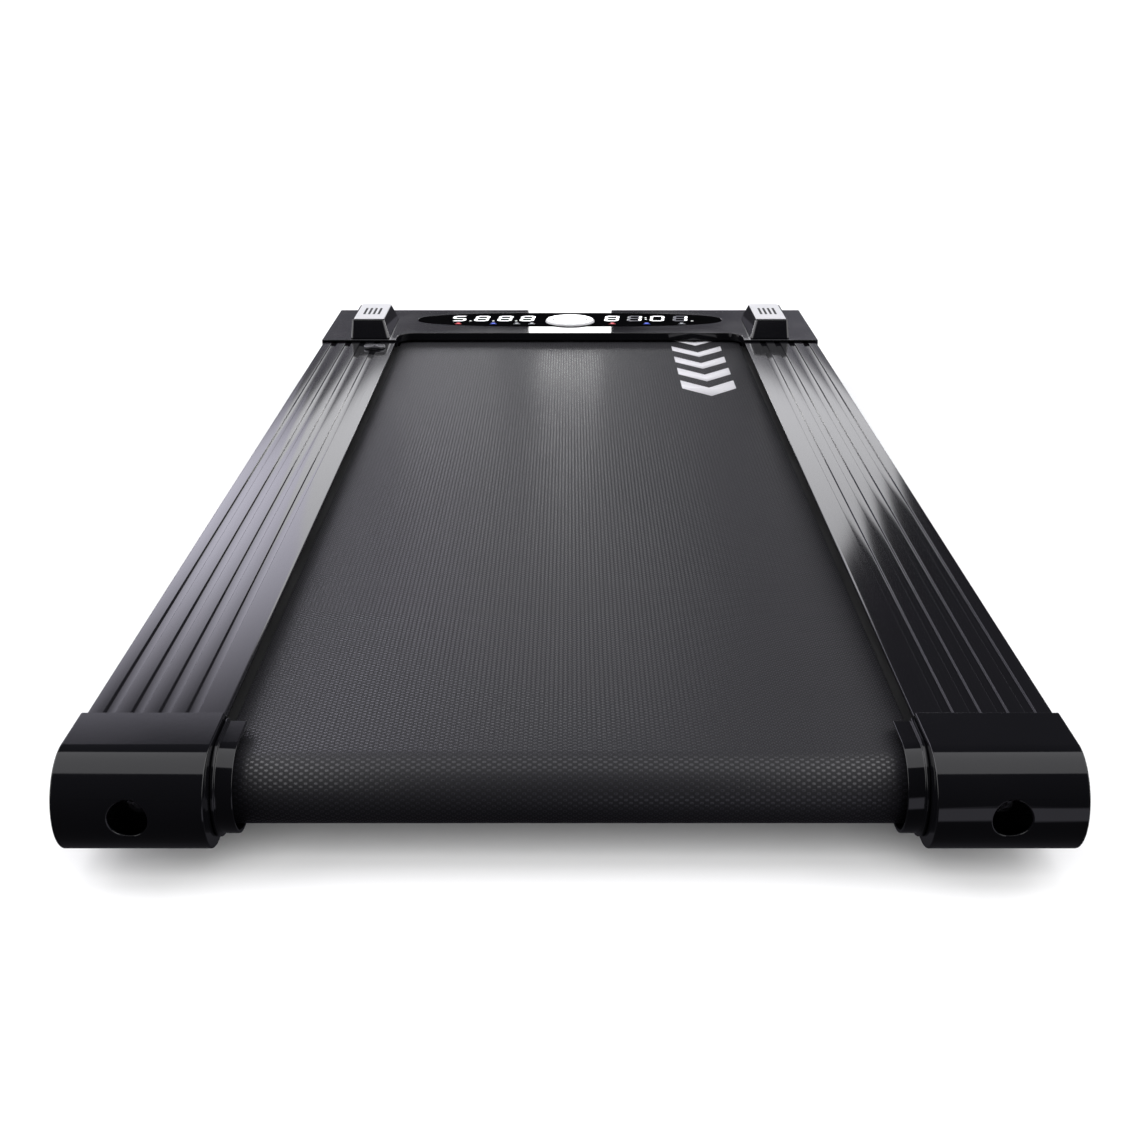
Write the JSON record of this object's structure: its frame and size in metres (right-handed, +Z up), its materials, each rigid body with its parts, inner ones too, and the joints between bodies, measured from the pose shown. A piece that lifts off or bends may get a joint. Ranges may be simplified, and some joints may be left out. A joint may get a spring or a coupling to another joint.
{
  "type": "treadmill",
  "caption": "Flat under-desk walking treadmill with grooved aluminium side rails, rubber belt, front display hood and rounded rear end caps.",
  "frame": {"origin": "on the floor, under the middle of the treadmill's length and width", "axes": "+Y along the belt towards the front hood, +X to the right for a walker facing the hood, +Z up"},
  "size_m": [0.57, 1.224, 0.102],
  "materials": {
    "anodised_rail": "black anodised satin",
    "gloss_black": "high gloss",
    "display_glass": "smoked clear window",
    "matte_black": "fine texture",
    "belt_rubber": "diamond embossed",
    "rubber": "matt",
    "steel": "zinc plated",
    "painted_steel": "black powder coat",
    "bright_plate": "brushed",
    "heatsink_aluminium": "mill",
    "white_plastic": "satin",
    "circuit_board": "solder mask",
    "deck_laminate": "black waxed laminate"
  },
  "bodies": {
    "frame": {"left_rail": "anodised_rail", "right_rail": "anodised_rail", "left_end_cap": "gloss_black", "right_end_cap": "gloss_black", "left_belt_guard": "gloss_black", "right_belt_guard": "gloss_black", "left_corner_block": "gloss_black", "right_corner_block": "gloss_black", "front_hood": "gloss_black", "display_window": "display_glass", "belly_pan": "matte_black", "power_inlet": "matte_black", "switch_housing": "matte_black", "running_belt": "belt_rubber", "left_rear_foot": "rubber", "right_rear_foot": "rubber", "left_front_foot": "rubber", "right_front_foot": "rubber", "left_rear_deck_cushion": "rubber", "right_rear_deck_cushion": "rubber", "left_front_deck_cushion": "rubber", "right_front_deck_cushion": "rubber", "drive_belt": "rubber", "rear_axle": "steel", "front_axle": "steel", "cord_eyelet": "steel", "left_tension_plate": "steel", "right_tension_plate": "steel", "left_wheel_pin": "steel", "right_wheel_pin": "steel", "front_frame": "painted_steel", "motor_body": "painted_steel", "motor_bracket": "painted_steel", "rear_cross_member": "painted_steel", "middle_cross_member": "painted_steel", "front_cross_member": "painted_steel", "left_block_plate": "bright_plate", "right_block_plate": "bright_plate", "controller_heatsink": "heatsink_aluminium", "button_ring": "white_plastic", "controller_board": "circuit_board", "display_board": "circuit_board", "deck_board": "deck_laminate"},
    "rear_roller": {"rear_roller": "steel", "left_rear_bearing": "steel", "right_rear_bearing": "steel"},
    "front_roller": {"front_roller": "steel", "left_front_bearing": "steel", "right_front_bearing": "steel", "driven_pulley": "matte_black"},
    "motor_rotor": {"motor_shaft": "steel", "motor_pulley": "steel", "motor_fan": "matte_black"},
    "left_wheel": {"left_transport_wheel": "matte_black"},
    "right_wheel": {"right_transport_wheel": "matte_black"},
    "start_button": {"start_button": "white_plastic"},
    "power_switch": {"power_switch": "matte_black"},
    "left_bolt": {"left_tension_bolt": "steel"},
    "right_bolt": {"right_tension_bolt": "steel"}
  },
  "joints": [
    {"name": "front_roller_spin", "type": "hinge", "parent": "frame", "child": "front_roller", "pos_m": [0, 0.478, 0.049], "axis": [1, 0, 0], "continuous": true},
    {"name": "rear_roller_spin", "type": "hinge", "parent": "frame", "child": "rear_roller", "pos_m": [0, -0.5676, 0.049], "axis": [1, 0, 0], "continuous": true},
    {"name": "motor_spin", "type": "hinge", "parent": "frame", "child": "motor_rotor", "pos_m": [0, 0.548, 0.0485], "axis": [1, 0, 0], "continuous": true},
    {"name": "left_wheel_spin", "type": "hinge", "parent": "frame", "child": "left_wheel", "pos_m": [-0.251, 0.585, 0.025], "axis": [1, 0, 0], "continuous": true},
    {"name": "right_wheel_spin", "type": "hinge", "parent": "frame", "child": "right_wheel", "pos_m": [0.251, 0.585, 0.025], "axis": [1, 0, 0], "continuous": true},
    {"name": "start_button_press", "type": "slide", "parent": "frame", "child": "start_button", "axis": [0, 0, -1], "range_m": [0, 0.0015], "stiffness_N_per_m": 900},
    {"name": "power_switch_rock", "type": "hinge", "parent": "frame", "child": "power_switch", "pos_m": [-0.16, 0.593, 0.0377], "axis": [0, 0, 1], "range_deg": [-7, 7]},
    {"name": "left_tension_turn", "type": "hinge", "parent": "frame", "child": "left_bolt", "pos_m": [-0.243, -0.585, 0.049], "axis": [0, 1, 0], "range_deg": [-180, 180]},
    {"name": "right_tension_turn", "type": "hinge", "parent": "frame", "child": "right_bolt", "pos_m": [0.243, -0.585, 0.049], "axis": [0, 1, 0], "range_deg": [-180, 180]}
  ],
  "couplings": [
    {"joint": "rear_roller_spin", "follows": "front_roller_spin", "ratio": 1},
    {"joint": "motor_spin", "follows": "front_roller_spin", "ratio": 2.5}
  ]
}
